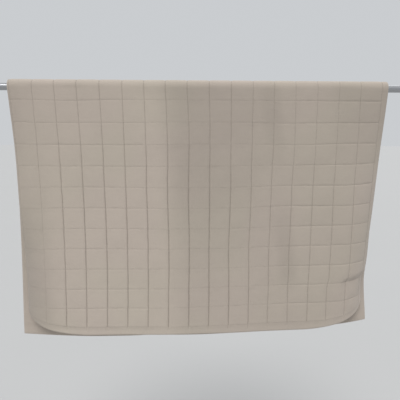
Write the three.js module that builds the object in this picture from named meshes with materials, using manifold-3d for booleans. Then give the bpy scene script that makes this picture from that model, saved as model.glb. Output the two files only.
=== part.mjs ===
// A quilted bedspread folded in half over a round rod, so that it hangs as a front and a back drop.
// Millimetres, +Z up, +X along the rod, +Y to the back. The origin is the middle of the rod's left end.
//
// A place on the flat cloth is (across, along): across runs from the left edge, along runs over the
// rod from the top of the fold, positive down the front drop and negative down the back drop.

import * as THREE from "three";
import Module from "manifold-3d";

// The rod
const ROD_DIAMETER = 32;
const ROD_LENGTH = 2000;
const ROD_SIDES = 32;

// The flat cloth
const SQUARE = 100; // side of one quilted square
const COLUMNS = 17;
const ROWS_PER_DROP = 12;
const LEFT_BORDER = 10; // plain cloth outside the outermost seams
const RIGHT_BORDER = 32;
const FOOT_BORDER = 45; // at the hem of the front drop
const HEAD_BORDER = 60; // at the hem of the back drop
const CORNER_ACROSS = 350; // the corners of the foot end are quarter ellipses of this width and height
const CORNER_ALONG = 126;
const EASED_LENGTH = 140; // above the hem, the pattern is drawn in to follow the corners

// The quilting
const SEAM_THICKNESS = 3;
const PUFF_HEIGHT = 7; // how far a square stands above its seams
const PUFF_SHOULDER = 20; // how far from a seam a square reaches its full height
const HEM_RISE = 1.5; // the turned hem is this much thicker than a seam

// The fold over the rod
const ROD_CLEARANCE = 0.7;
const FOLD_PUFF = 8; // the filling gathers over the rod and stands this much higher there
const FOLD_STEPS = 8;
const INNER_RADIUS = ROD_DIAMETER / 2 + ROD_CLEARANCE;
const PATH_RADIUS = INNER_RADIUS + SEAM_THICKNESS / 2;
const QUARTER_TURN = (PATH_RADIUS * Math.PI) / 2; // length along the cloth from the fold's top to a drop
const FOLD_STEP = (2 * QUARTER_TURN) / FOLD_STEPS;
const FOLD_OFFSET = 2 * FOLD_STEP; // the middle seam lies this far behind the top of the fold

// The flat cloth's outline
const WIDTH = LEFT_BORDER + COLUMNS * SQUARE + RIGHT_BORDER;
const FRONT_END = ROWS_PER_DROP * SQUARE - FOLD_OFFSET + FOOT_BORDER;
const BACK_END = -(ROWS_PER_DROP * SQUARE + FOLD_OFFSET + HEAD_BORDER);
const LEFT_EDGE_X = (ROD_LENGTH - WIDTH) / 2;

// How the side edges turn away to the back, in degrees, at distances below the rod.
const LEFT_CURL_WIDTH = 165;
const RIGHT_CURL_WIDTH = 180;
const SIDE_CURLS = [
  { below: 0, frontLeft: 0, frontRight: 0, backLeft: 0, backRight: 0 },
  { below: 270, frontLeft: 13, frontRight: 21, backLeft: 4, backRight: 9 },
  { below: 570, frontLeft: 12, frontRight: 36, backLeft: 3, backRight: 18 },
  { below: 820, frontLeft: 32, frontRight: 48, backLeft: 7, backRight: 23 },
  { below: 1040, frontLeft: 36, frontRight: 54, backLeft: 8, backRight: 31 },
  { below: 1250, frontLeft: 30, frontRight: 36, backLeft: 0, backRight: 9 },
];

// Soft upright folds: where each one is, how wide, how far it stands out, and how much is left at the hem.
const FOLDS = {
  front: [
    { across: 730, halfWidth: 300, outward: 14, hemShare: 0.5 },
    { across: 1210, halfWidth: 260, outward: -10, hemShare: 0.6 },
  ],
  back: [
    { across: 640, halfWidth: 110, outward: 10, hemShare: 1 },
    { across: 1150, halfWidth: 320, outward: 15, hemShare: 1 },
  ],
};
const FOLD_FADE_IN = 260; // a fold is flat on the rod and full this far below it

// What each drop does as a whole
const DROPS = {
  front: {
    toBack: 1, end: FRONT_END, leanOut: 35, sway: 13, crease: 8, pull: 12,
    liftLeft: 0, liftRight: 32, earlyLift: 0.46, flareLeft: 0, flareRight: 0,
  },
  back: {
    toBack: -1, end: -BACK_END, leanOut: -2, sway: 0, crease: 0, pull: 0,
    liftLeft: 22, liftRight: 65, earlyLift: 0, flareLeft: 28, flareRight: 8,
  },
};

// Sway: the left part is drawn in at half height, fading out across the cloth.
const SWAY_FULL = 400;
const SWAY_NONE = 1100;

// Lift: the lower corners ride up, outward of these places across and this far below the rod. The early
// share of it is there higher up.
const LIFT_LEFT_OF = 350;
const LIFT_RIGHT_OF = 1000;
const LIFT_POWER = 1.5;
const LIFT_BELOW = 820;
const LIFT_REACH = 250;
const EARLY_LIFT_BELOW = 100;
const EARLY_LIFT_REACH = 350;

// Crease: a short slanting one near the right edge. Below it the cloth is set back and comes forward again.
const CREASE_ALONG = 973; // at the place across that follows
const CREASE_ACROSS = 1600;
const CREASE_SLOPE = 0.1;
const CREASE_STEP = 24;
const CREASE_RECOVERY = 150;
const CREASE_WINDOW = { start: 1575, full: 1605, falling: 1650, stop: 1700 };

// Pull: below the crease the cloth is drawn to the left, growing between these places across.
const PULL_FROM = 1350;
const PULL_FULL = 1640;
const PULL_STEP = 50;

// Flare: the lower corners of the back drop reach a little outward.
const FLARE_WIDTH = 600;
const FLARE_BELOW = 400;

// Where the inner face has the outer face's fine steps: the outer columns and the lower front rows
const FINE_LEFT = LEFT_BORDER + 3 * SQUARE;
const FINE_RIGHT = WIDTH - RIGHT_BORDER - 2 * SQUARE;
const FINE_ALONG = 8 * SQUARE - FOLD_OFFSET;
const LEAST_STEP = 1; // no step is closer than this to the end of the fold
const NORMAL_STEP = 2; // the cloth's direction is taken over this far each way
const LEAST_CURL = 1e-4; // a strip that turns less than this, in radians, is flat

const FABRIC = new THREE.MeshStandardMaterial({ color: 0xa99f95, roughness: 0.92, metalness: 0 });
const STEEL = new THREE.MeshStandardMaterial({ color: 0xb9babd, roughness: 0.28, metalness: 1 });

const smooth = (from, to, value) => THREE.MathUtils.smoothstep(value, from, to);

// A strip of cloth bent to a round arc that has turned by `angle` after `width`.
function arc(distance, width, angle) {
  if (angle < LEAST_CURL) return { reach: distance, depth: 0 };
  const radius = width / angle;
  return { reach: radius * Math.sin(distance / radius), depth: radius * (1 - Math.cos(distance / radius)) };
}

// A column of the curl table at a distance below the rod, on a cubic curve through the rows, in radians.
function curlAngle(column, below) {
  const last = SIDE_CURLS.length - 1;
  const holds = (entry, index) => index === last - 1 || below <= SIDE_CURLS[index + 1].below;
  const row = SIDE_CURLS.findIndex(holds);
  const slope = (index) => {
    const before = SIDE_CURLS[Math.max(index - 1, 0)];
    const after = SIDE_CURLS[Math.min(index + 1, last)];
    return (after[column] - before[column]) / (after.below - before.below);
  };
  const start = SIDE_CURLS[row];
  const stop = SIDE_CURLS[row + 1];
  const span = stop.below - start.below;
  const t = THREE.MathUtils.clamp((below - start.below) / span, 0, 1);
  const cubic =
    (2 * t ** 3 - 3 * t ** 2 + 1) * start[column] +
    (t ** 3 - 2 * t ** 2 + t) * span * slope(row) +
    (3 * t ** 2 - 2 * t ** 3) * stop[column] +
    (t ** 3 - t ** 2) * span * slope(row + 1);
  return THREE.MathUtils.degToRad(cubic);
}

// A place on one drop's inner face, `below` the rod's axis.
function dropPoint(side, across, along, below) {
  const drop = DROPS[side];
  const share = below / (drop.end - QUARTER_TURN);
  let x = across;
  let depth = -drop.toBack * drop.leanOut * share;

  const fromLeft = LEFT_CURL_WIDTH - across;
  if (fromLeft > 0) {
    const bend = arc(fromLeft, LEFT_CURL_WIDTH, curlAngle(`${side}Left`, below));
    x = LEFT_CURL_WIDTH - bend.reach;
    depth += bend.depth;
  }
  const fromRight = across - (WIDTH - RIGHT_CURL_WIDTH);
  if (fromRight > 0) {
    const bend = arc(fromRight, RIGHT_CURL_WIDTH, curlAngle(`${side}Right`, below));
    x = WIDTH - RIGHT_CURL_WIDTH + bend.reach;
    depth += bend.depth;
  }
  for (const fold of FOLDS[side]) {
    const off = THREE.MathUtils.clamp((across - fold.across) / fold.halfWidth, -1, 1);
    const bell = (1 + Math.cos(Math.PI * off)) / 2;
    const height = THREE.MathUtils.lerp(1, fold.hemShare, share) * smooth(0, FOLD_FADE_IN, below);
    depth -= drop.toBack * fold.outward * bell * height;
  }
  const past = Math.abs(along) - CREASE_ALONG + (across - CREASE_ACROSS) * CREASE_SLOPE;
  const { start, full, falling, stop } = CREASE_WINDOW;
  const inWindow = smooth(start, full, across) * (1 - smooth(falling, stop, across));
  const setBack = smooth(-CREASE_STEP / 2, CREASE_STEP / 2, past);
  const recovered = smooth(CREASE_STEP / 2, CREASE_STEP / 2 + CREASE_RECOVERY, past);
  depth += drop.crease * inWindow * setBack * (1 - recovered);
  x -= drop.pull * smooth(PULL_FROM, PULL_FULL, across) * smooth(-PULL_STEP / 2, PULL_STEP / 2, past);

  x += drop.sway * Math.sin(Math.PI * share) * (1 - smooth(SWAY_FULL, SWAY_NONE, across));
  const flareShare = smooth(FLARE_BELOW, drop.end - QUARTER_TURN, below);
  x -= drop.flareLeft * flareShare * Math.max(1 - across / FLARE_WIDTH, 0) ** 2;
  x += drop.flareRight * flareShare * Math.max(1 - (WIDTH - across) / FLARE_WIDTH, 0) ** 2;

  const atLeft = THREE.MathUtils.clamp(1 - across / LIFT_LEFT_OF, 0, 1) ** LIFT_POWER;
  const atRight = THREE.MathUtils.clamp((across - LIFT_RIGHT_OF) / (WIDTH - LIFT_RIGHT_OF), 0, 1) ** LIFT_POWER;
  const early = smooth(EARLY_LIFT_BELOW, EARLY_LIFT_BELOW + EARLY_LIFT_REACH, below);
  const late = smooth(LIFT_BELOW, LIFT_BELOW + LIFT_REACH, below);
  const liftShare = THREE.MathUtils.lerp(late, early, drop.earlyLift);
  const lift = (drop.liftLeft * atLeft + drop.liftRight * atRight) * liftShare;
  return new THREE.Vector3(LEFT_EDGE_X + x, depth - drop.toBack * INNER_RADIUS, lift - below);
}

// A place on the inner face of the hung cloth.
function innerPoint(across, along) {
  const below = Math.abs(along) - QUARTER_TURN;
  if (below > 0) return dropPoint(along > 0 ? "front" : "back", across, along, below);
  const turn = along / PATH_RADIUS;
  return new THREE.Vector3(
    LEFT_EDGE_X + across,
    -INNER_RADIUS * Math.sin(turn),
    INNER_RADIUS * Math.cos(turn),
  );
}

// A place at a height above the inner face, square to it.
function hungPoint(across, along, height) {
  const acrossStep = innerPoint(across + NORMAL_STEP, along).sub(innerPoint(across - NORMAL_STEP, along));
  const alongStep = innerPoint(across, along + NORMAL_STEP).sub(innerPoint(across, along - NORMAL_STEP));
  const outward = alongStep.cross(acrossStep).normalize();
  return innerPoint(across, along).addScaledVector(outward, height);
}

// How far the outer face stands above its seams: squares rise from every seam, the plain borders rise
// evenly from the outermost seam to the turned hem, and all of it is higher over the rod.
function relief(across, along) {
  const turn = THREE.MathUtils.clamp(along / PATH_RADIUS, -Math.PI / 2, Math.PI / 2);
  const overRod = FOLD_PUFF * Math.cos(turn) ** 2;
  const beyond = Math.max(
    (LEFT_BORDER - across) / LEFT_BORDER,
    (across - WIDTH + RIGHT_BORDER) / RIGHT_BORDER,
    (along - FRONT_END + FOOT_BORDER) / FOOT_BORDER,
    (BACK_END + HEAD_BORDER - along) / HEAD_BORDER,
  );
  if (beyond >= 0) return overRod + HEM_RISE * beyond;
  const rise = (place) => {
    const inSquare = THREE.MathUtils.euclideanModulo(place, SQUARE);
    const fromSeam = Math.min(inSquare, SQUARE - inSquare);
    return Math.sin((Math.PI / 2) * Math.min(fromSeam / PUFF_SHOULDER, 1));
  };
  return overRod + PUFF_HEIGHT * rise(across - LEFT_BORDER) * rise(along + FOLD_OFFSET);
}

// Where a place of the even pattern lies along the flat cloth. Near the foot end's corners it is drawn in, so
// that the last row and the hem follow the corners' quarter ellipses.
function easedAlong(across, along) {
  const fromSide = Math.min(across, WIDTH - across);
  const inCorner = THREE.MathUtils.clamp(1 - fromSide / CORNER_ACROSS, 0, 1);
  const cutOff = CORNER_ALONG * (1 - Math.sqrt(1 - inCorner ** 2));
  const eased = Math.max(along - FRONT_END + EASED_LENGTH, 0);
  return along - (cutOff * eased) / EASED_LENGTH;
}

// Steps across the cloth: a seam and two shoulders for each column, and the two edges.
function stepsAcross() {
  const steps = [{ at: 0, seam: true }, { at: LEFT_BORDER, seam: true }];
  for (let column = 0; column < COLUMNS; column += 1) {
    const start = LEFT_BORDER + column * SQUARE;
    steps.push({ at: start + PUFF_SHOULDER }, { at: start + SQUARE - PUFF_SHOULDER });
    steps.push({ at: start + SQUARE, seam: true });
  }
  steps.push({ at: WIDTH, seam: true });
  return steps.map(({ at, seam }) => ({ at, inner: Boolean(seam) || at < FINE_LEFT || at > FINE_RIGHT }));
}

// Steps along the cloth: a seam and two shoulders for each row, even steps round the rod, and the hems.
function stepsAlong() {
  const steps = [{ at: BACK_END, seam: true }, { at: FRONT_END, seam: true }];
  for (let row = -ROWS_PER_DROP; row <= ROWS_PER_DROP; row += 1) {
    const seam = row * SQUARE - FOLD_OFFSET;
    steps.push({ at: seam, seam: true });
    if (row < ROWS_PER_DROP) {
      steps.push({ at: seam + PUFF_SHOULDER }, { at: seam + SQUARE - PUFF_SHOULDER });
    }
  }
  const onDrops = steps.filter(({ at }) => Math.abs(at) > QUARTER_TURN + LEAST_STEP);
  for (let step = 0; step <= FOLD_STEPS; step += 1) {
    onDrops.push({ at: step * FOLD_STEP - QUARTER_TURN, seam: true });
  }
  onDrops.sort((a, b) => a.at - b.at);
  return onDrops.map(({ at, seam }) => ({ at, inner: Boolean(seam) || at > FINE_ALONG }));
}

// A closed sheet on a grid of steps. outerPlace and innerPlace give the two faces' points, and the inner
// face keeps only the steps marked inner.
function closedSheet(across, along, outerPlace, innerPlace) {
  const points = [];
  const triangles = [];
  const addFace = (columns, rows, place, flipped) => {
    const first = points.length;
    for (const b of rows) for (const a of columns) points.push(place(a.at, b.at));
    const index = (i, j) => first + j * columns.length + i;
    for (let j = 0; j + 1 < rows.length; j += 1) {
      for (let i = 0; i + 1 < columns.length; i += 1) {
        const corners = [index(i, j), index(i + 1, j), index(i + 1, j + 1), index(i, j + 1)];
        if (flipped) corners.reverse();
        triangles.push([corners[0], corners[1], corners[2]], [corners[0], corners[2], corners[3]]);
      }
    }
    return index;
  };
  const innerAcross = across.filter((step) => step.inner);
  const innerAlong = along.filter((step) => step.inner);
  const outer = addFace(across, along, outerPlace, true);
  const inner = addFace(innerAcross, innerAlong, innerPlace, false);

  // The rim runs round the sheet, joining each inner step to all the outer steps beside it.
  const lastA = across.length - 1;
  const lastB = along.length - 1;
  const rim = [];
  const corner = (i, j) => {
    const hasInner = across[i].inner && along[j].inner;
    const innerIndex = hasInner ? inner(innerAcross.indexOf(across[i]), innerAlong.indexOf(along[j])) : null;
    rim.push({ outer: outer(i, j), inner: innerIndex });
  };
  for (let i = 0; i < lastA; i += 1) corner(i, 0);
  for (let j = 0; j < lastB; j += 1) corner(lastA, j);
  for (let i = lastA; i > 0; i -= 1) corner(i, lastB);
  for (let j = lastB; j > 0; j -= 1) corner(0, j);
  rim.push(rim[0]);
  let held = rim[0].inner;
  for (let k = 1; k < rim.length; k += 1) {
    triangles.push([held, rim[k - 1].outer, rim[k].outer]);
    if (rim[k].inner !== null) {
      triangles.push([held, rim[k].outer, rim[k].inner]);
      held = rim[k].inner;
    }
  }
  return { points, triangles };
}

const wasm = await Module();
wasm.setup();

function toSolid({ points, triangles }) {
  const vertProperties = Float32Array.from(points.flatMap((point) => point.toArray()));
  const triVerts = Uint32Array.from(triangles.flat());
  return new wasm.Manifold(new wasm.Mesh({ numProp: 3, vertProperties, triVerts }));
}

function toGeometry(solid) {
  const { vertProperties, triVerts } = solid.getMesh();
  const geometry = new THREE.BufferGeometry();
  geometry.setAttribute("position", new THREE.BufferAttribute(vertProperties, 3));
  geometry.setIndex(new THREE.BufferAttribute(triVerts, 1));
  geometry.computeVertexNormals();
  return geometry;
}

function bedspread() {
  const outerPlace = (across, along) =>
    hungPoint(across, easedAlong(across, along), SEAM_THICKNESS + relief(across, along));
  const innerPlace = (across, along) => innerPoint(across, easedAlong(across, along));
  const sheet = closedSheet(stepsAcross(), stepsAlong(), outerPlace, innerPlace);
  const mesh = new THREE.Mesh(toGeometry(toSolid(sheet)), FABRIC);
  mesh.name = "bedspread";
  return mesh;
}

function rod() {
  const geometry = new THREE.CylinderGeometry(ROD_DIAMETER / 2, ROD_DIAMETER / 2, ROD_LENGTH, ROD_SIDES);
  const mesh = new THREE.Mesh(geometry, STEEL);
  mesh.name = "rod";
  mesh.rotation.z = -Math.PI / 2;
  mesh.position.x = ROD_LENGTH / 2;
  return mesh;
}

const bedspreadOnRod = new THREE.Group();
bedspreadOnRod.add(bedspread(), rod());

export default bedspreadOnRod;
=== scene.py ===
"""A quilted bedspread folded over a round rod, with a pale floor, soft studio light and a camera.

A place on the flat cloth is (across, along), in metres. Across runs from the left edge. Along runs over
the rod from the top of the fold, positive down the front drop and negative down the back drop.
"""

import math

import bpy
import numpy as np
from bpy.props import FloatProperty, FloatVectorProperty, IntProperty, PointerProperty
from mathutils import Matrix, Vector


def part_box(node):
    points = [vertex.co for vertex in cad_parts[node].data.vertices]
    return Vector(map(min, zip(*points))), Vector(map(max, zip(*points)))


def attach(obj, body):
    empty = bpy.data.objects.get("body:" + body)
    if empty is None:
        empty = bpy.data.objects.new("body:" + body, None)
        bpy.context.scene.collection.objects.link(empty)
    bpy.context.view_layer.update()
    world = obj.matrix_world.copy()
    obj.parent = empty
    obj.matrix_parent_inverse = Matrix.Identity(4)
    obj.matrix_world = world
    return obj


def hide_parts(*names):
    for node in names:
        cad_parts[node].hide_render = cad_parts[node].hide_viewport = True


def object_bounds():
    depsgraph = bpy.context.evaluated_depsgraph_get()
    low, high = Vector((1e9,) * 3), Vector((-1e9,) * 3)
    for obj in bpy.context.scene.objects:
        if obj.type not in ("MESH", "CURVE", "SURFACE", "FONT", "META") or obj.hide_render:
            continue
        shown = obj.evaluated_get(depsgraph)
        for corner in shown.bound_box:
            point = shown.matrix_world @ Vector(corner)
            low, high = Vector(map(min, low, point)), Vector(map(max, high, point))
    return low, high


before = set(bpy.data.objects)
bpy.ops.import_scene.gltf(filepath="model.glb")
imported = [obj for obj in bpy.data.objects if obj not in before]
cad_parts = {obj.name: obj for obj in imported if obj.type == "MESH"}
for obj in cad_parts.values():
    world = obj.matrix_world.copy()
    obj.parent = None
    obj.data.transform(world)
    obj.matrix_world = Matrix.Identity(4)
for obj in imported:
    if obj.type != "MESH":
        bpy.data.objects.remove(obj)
CAD_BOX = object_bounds()
ROD_LOW, ROD_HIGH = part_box("rod")

bl_info = {
    "name": "Quilted Bedspread on a Rod",
    "version": (1, 0, 0),
    "blender": (4, 5, 0),
    "location": "3D View > Sidebar > Bedspread",
    "description": "Hangs a square-quilted bedspread over a round rod",
    "category": "Object",
}

# The flat cloth: plain borders outside the outermost seams. The corners of the foot end are quarter
# ellipses, and over the eased length above the hem the pattern is drawn in to follow them.
LEFT_BORDER = 0.010
RIGHT_BORDER = 0.032
FOOT_BORDER = 0.045
HEAD_BORDER = 0.060
CORNER_ACROSS = 0.350
CORNER_ALONG = 0.126
EASED_LENGTH = 0.140
ROD_CLEARANCE = 0.0007
FOLD_EIGHTHS = 2  # the middle seam lies this many eighths of the half turn behind the top of the fold
FOLD_PUFF = 0.008  # the filling gathers over the rod and stands this much higher there

# How the side edges turn away to the back, in degrees, at distances below the rod
LEFT_CURL_WIDTH = 0.165
RIGHT_CURL_WIDTH = 0.180
SIDE_CURLS = {
    "below": (0.0, 0.27, 0.57, 0.82, 1.04, 1.25),
    "front_left": (0, 13, 12, 32, 36, 30),
    "front_right": (0, 21, 36, 48, 54, 36),
    "back_left": (0, 4, 3, 7, 8, 0),
    "back_right": (0, 9, 18, 23, 31, 9),
}
LEAST_CURL = 1e-4

# Soft upright folds: place across, half width, how far each stands out, and the share left at the hem
FOLDS = {
    "front": ((0.730, 0.300, 0.014, 0.5), (1.210, 0.260, -0.010, 0.6)),
    "back": ((0.640, 0.110, 0.010, 1.0), (1.150, 0.320, 0.015, 1.0)),
}
FOLD_FADE_IN = 0.260

# What each drop does as a whole: its lean away from the rod, and how its edges and corners are drawn
DROPS = {
    "front": {
        "to_back": 1, "lean_out": 0.035, "sway": 0.013, "crease": 0.0055, "pull": 0.012,
        "lift_left": 0.0, "lift_right": 0.032, "early_lift": 0.46, "flare_left": 0.0, "flare_right": 0.0,
    },
    "back": {
        "to_back": -1, "lean_out": -0.002, "sway": 0.0, "crease": 0.0, "pull": 0.0,
        "lift_left": 0.022, "lift_right": 0.065, "early_lift": 0.0, "flare_left": 0.028, "flare_right": 0.008,
    },
}
SWAY_FULL = 0.400
SWAY_NONE = 1.100
LIFT_LEFT_OF = 0.350
LIFT_RIGHT_OF = 1.000
LIFT_POWER = 1.5
LIFT_BELOW = 0.820
LIFT_REACH = 0.250
EARLY_LIFT_BELOW = 0.100
EARLY_LIFT_REACH = 0.350
FLARE_WIDTH = 0.600
FLARE_BELOW = 0.400
NORMAL_STEP = 0.002

# A short slanting crease near the right edge: its line, its step, how far below it the cloth has come
# forward again, the places across where it starts, is full, falls off and stops, and the pull to the left
CREASE_ALONG = 0.973
CREASE_ACROSS = 1.600
CREASE_SLOPE = 0.1
CREASE_STEP = 0.024
CREASE_RECOVERY = 0.150
CREASE_WINDOW = (1.575, 1.605, 1.650, 1.700)
PULL_FROM = 1.350
PULL_FULL = 1.640
PULL_STEP = 0.050

# The quilting: how a square rises from its seams
GROOVE_WIDTH = 0.0026
GROOVE_SHARE = 0.90  # the part of the height gained beside the seam; the rest is a low dome
DOME_SPREAD = 0.35  # how much the domes differ from square to square
DIP_WIDTH = 0.014
PUCKER_HEIGHT = 0.0007
PUCKER_CELL = 0.018
PUCKER_REACH = 0.014
BORDER_DROP = 0.25  # the share of the height that the plain border loses
BORDER_REACH = 0.030
HEM_ROLL = 0.006
HEM_EDGE = 0.0012
LINING_PUFF = 0.0010
LINING_FROM = 0.060
LINING_FULL = 0.150

# Stretches of the cloth where its seams are pulled differently. A step has the places where it starts and
# is full, and a window the places where it starts, is full, falls off and stops.
FRONT_STEP = (-0.05, 0.05)
LOW_STEP = (0.10, 0.70)
NEAR_HEM_STEP = (0.85, 1.05)
LAST_ROW_STEP = (1.10, 1.16)
LEFT_STEP = (0.10, 0.24)
RIGHT_STEP = (0.82, 1.30)
MIDDLE_WINDOW = (0.50, 0.75, 1.15, 1.40)
SLACK_WINDOW = (1.22, 1.30, 1.52, 1.60)

# How deep the seams are pulled, and the broad dip along the level ones, as shares of a square's height: on
# the back, on the front, what is added low down and to the right, and the share that each stretch changes
SEAM_PULLS = {
    "upright": {
        "back": 0.50, "front": 0.38, "add_low": 0.50, "add_right": 0.0,
        "left": -0.25, "low_left": -0.60, "right": -0.50, "middle": 0.0,
        "high_right": -0.40, "near_hem": 0.0, "last_row": 0.0,
    },
    "level": {
        "back": 0.30, "front": 0.08, "add_low": 0.0, "add_right": 0.07,
        "left": 0.0, "low_left": -0.85, "right": 0.0, "middle": -0.70,
        "high_right": 0.0, "near_hem": 0.60, "last_row": -0.70,
    },
    "dip": {
        "back": 0.08, "front": 0.13, "add_low": 0.0, "add_right": 0.07,
        "left": 0.0, "low_left": -0.60, "right": 0.0, "middle": -0.60,
        "high_right": 0.0, "near_hem": 0.0, "last_row": -0.70,
    },
}
UNEVEN_SHARE = 0.22
UNEVEN_CELL = 0.170

# How the sewing wanders from even squares: by broad and by fine random lumps, and not at the outline
BROAD_WANDER = 0.0035
BROAD_CELL = 0.260
FINE_WANDER = 0.0010
FINE_CELL = 0.055
WANDER_REACH = 0.040

# Seeds of the random draws, and the number of cells after which random lumps repeat
DOME_SEED = 7
PUCKER_SEED = 8
UNEVEN_SEED = 9
ACROSS_SEEDS = (10, 11)
ALONG_SEEDS = (12, 13)
LATTICE = 256

# Grid lines in one square, closest beside the seam, and those that the lining keeps
SQUARE_LINES = (0.0, 0.015, 0.035, 0.07, 0.14, 0.28, 0.5, 0.72, 0.86, 0.93, 0.965, 0.985)
LINING_LINES = (0.0, 0.07, 0.5, 0.93)
EDGE_LINES = (0.0, 0.0015, 0.004, 0.009, 0.020)
FOLD_LINES = 18
CREASE_LINES_ACROSS = np.linspace(1.560, 1.735, 16)
CREASE_LINES_ALONG = np.linspace(0.930, 1.030, 16)
LEAST_LINE_GAP = 0.0012

# A stitch's six points: half lengths along it, thread radii to its side, and thread radii above the seam
STITCH_POINTS = ((-1, 0, 0.0), (1, 0, 0.0), (0, 0, 1.6), (0, -1, 0.6), (0, 0, -0.4), (0, 1, 0.6))
STITCH_FACES = ((0, 2, 3), (0, 3, 4), (0, 4, 5), (0, 5, 2), (1, 3, 2), (1, 4, 3), (1, 5, 4), (1, 2, 5))

# Painted light and shade on the cloth: steps and windows along and across it, and the change of tone in each
# stretch
PAINTED_LIGHT_ALONG = {
    "front": (0.0, 0.04),
    "high": (0.12, 0.45),
    "low": (0.05, 1.10),
    "hem": (1.16, 1.21),
    "hollow_low": (0.55, 0.80, 0.90, 1.05),
    "back_low": (-1.15, -0.85),
}
PAINTED_LIGHT_ACROSS = {
    "rim": (0.02, 0.07),
    "left_edge": (0.05, 0.21),
    "right": (0.62, 0.775),
    "band_end": (0.85, 1.35),
    "right_edge": (1.38, 1.58),
    "back_right": (1.45, 1.68),
}
PAINTED_LIGHT_TONES = {
    "left": 0.05, "low_left": 0.13, "hem": 0.06, "right": -0.13, "high_band": -0.26, "low_band": 0.08,
    "hollow": -0.04, "high_hollow": -0.12, "low_hollow": -0.16, "rim": -0.10, "left_edge": -0.10,
    "low_left_edge": -0.48, "high_right_edge": -0.20, "back_corner_shadow": -0.22,
}
RIGHT_SLANT = 0.05
HOLLOW_ACROSS = 1.18
HOLLOW_SLANT = 0.14
HOLLOW_STEP = (0.01, 0.07)

# The cotton's noises, each with its scale, its detail and the stretch of its pattern
EVEN = (1, 1, 1)
COTTON_NOISES = {
    "thinned_seam": (5.0, 1.0, EVEN),
    "mottle": (7.0, 3.0, EVEN),
    "clouds": (1.6, 1.0, EVEN),
    "slubs_across": (1.0, 2.0, (18, 420, 1)),
    "slubs_along": (1.0, 2.0, (420, 18, 1)),
    "tint": (2.3, 1.0, EVEN),
    "upright_puckers": (1.0, 1.0, (22, 95, 1)),
    "level_puckers": (1.0, 1.0, (95, 22, 1)),
    "fuzz": (260.0, 2.0, EVEN),
}
NOISE_MIDDLE = 0.5

# The cotton's tone, from 0 for its dark colour to 1 for its pale one, and what each noise changes in it
COTTON_DARK = 0.72
COTTON_PALE = 1.12
COTTON_TONE = 0.66
NOISE_TONES = {"mottle": 0.20, "clouds": 0.16, "slubs_across": 0.14, "slubs_along": 0.14}
CROWN_TONE = 0.03
CROWN_STEP = (0.010, 0.050)
WORN_TONE = 0.03
WORN_STEP = (0.0, 0.030)
ROSY = (1.007, 0.9965, 1.006)  # the two tints that the cloth's colour drifts between
MOSSY = (0.995, 1.0025, 0.991)
TINT_STEP = (0.36, 0.64)

# How dark the painted shade in the seam grooves is, what is added low down, and the shares lost in some
# stretches
UPRIGHT_SEAM_SHADE = {"high": 0.26, "add_low": 0.16, "less_right": 0.30, "less_left": 0.20, "less_low_left": 0.65}
LEVEL_SEAM_SHADE = {"all": 0.085, "drop_low_left": 0.07, "less_middle": 0.75}
SEAM_SHADE_STEP = (0.0006, 0.0034)

# The cotton's roughness, and its bump, whose parts are shares of its height
COTTON_ROUGHNESS = {"all": 0.86, "mottle": 0.12, "line": 0.10}
COTTON_BUMP = {"weave": 0.10, "puckers": 0.90, "fuzz": 0.16, "mottle": 0.50}
COTTON_BUMP_HEIGHT = 0.0012
PUCKER_STEP = (0.0, 0.024)

# The looks of the sewing thread, the steel and the floor
THREAD_TWIST = 0.0009
THREAD_NOISE = (30.0, 2.0, EVEN)
THREAD_PALE = 0.85
THREAD_MIX = {"twist": 0.6, "uneven": 0.4}
THREAD_ROUGHNESS = {"all": 0.62, "uneven": 0.15}
THREAD_BUMP_HEIGHT = 0.0001
BRUSHED_NOISE = (1.0, 3.0, (9, 900, 900))
SMUDGE_NOISE = (14.0, 2.0, (0.4, 1, 1))
STEEL_DARK = 0.86
STEEL_PALE = 1.10
STEEL_MIX = {"smudge": 0.6, "brushed": 0.4}
STEEL_ROUGHNESS = {"all": 0.25, "smudge": 0.14, "brushed": 0.10}
STEEL_BUMP_HEIGHT = 0.00006
FLOOR_NOISE = (0.8, 2.0, EVEN)
FLOOR_DARK = 0.985
FLOOR_PALE = 1.015
FLOOR_ROUGHNESS = {"all": 0.80, "clouds": 0.10}

# The rod's chamfer as a share of its wall, the angle past which its edges are sharp, and the stage
CHAMFER_SHARE = 0.25
SHARP_ANGLE = math.radians(35)
FLOOR_RINGS = 12
FLOOR_SPOKES = 65
FLOOR_START = 0.002
FILL_SOFTNESS = math.radians(60)
FILL_ELEVATION = math.radians(35)
FILL_AZIMUTH = math.radians(160)
FRAME_WIDTH = 36  # in millimetres, as the lens is

NO_FACES = np.zeros((0, 3), int)
COLOUR_MIX = {"factor": 0, "first": 6, "second": 7, "result": 2}  # a Mix node's sockets for colours


def smooth_step(start, stop, value):
    """0 before start and 1 after stop, on the cubic 3t^2 - 2t^3 between them."""
    t = np.clip((value - start) / (stop - start), 0.0, 1.0)
    return t * t * (3.0 - 2.0 * t)


def window(places, value):
    """Rises from 0 to 1 over the first two of four places, and falls back to 0 over the last two."""
    return smooth_step(*places[:2], value) * (1 - smooth_step(*places[2:], value))


def bent_strip(distance, width, angle):
    """A strip bent to a round arc that has turned by angle after width: how far it reaches, and how deep."""
    radius = width / np.maximum(angle, LEAST_CURL)
    turn = np.maximum(distance, 0.0) / radius
    return radius * np.sin(turn), radius * (1.0 - np.cos(turn))


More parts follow.
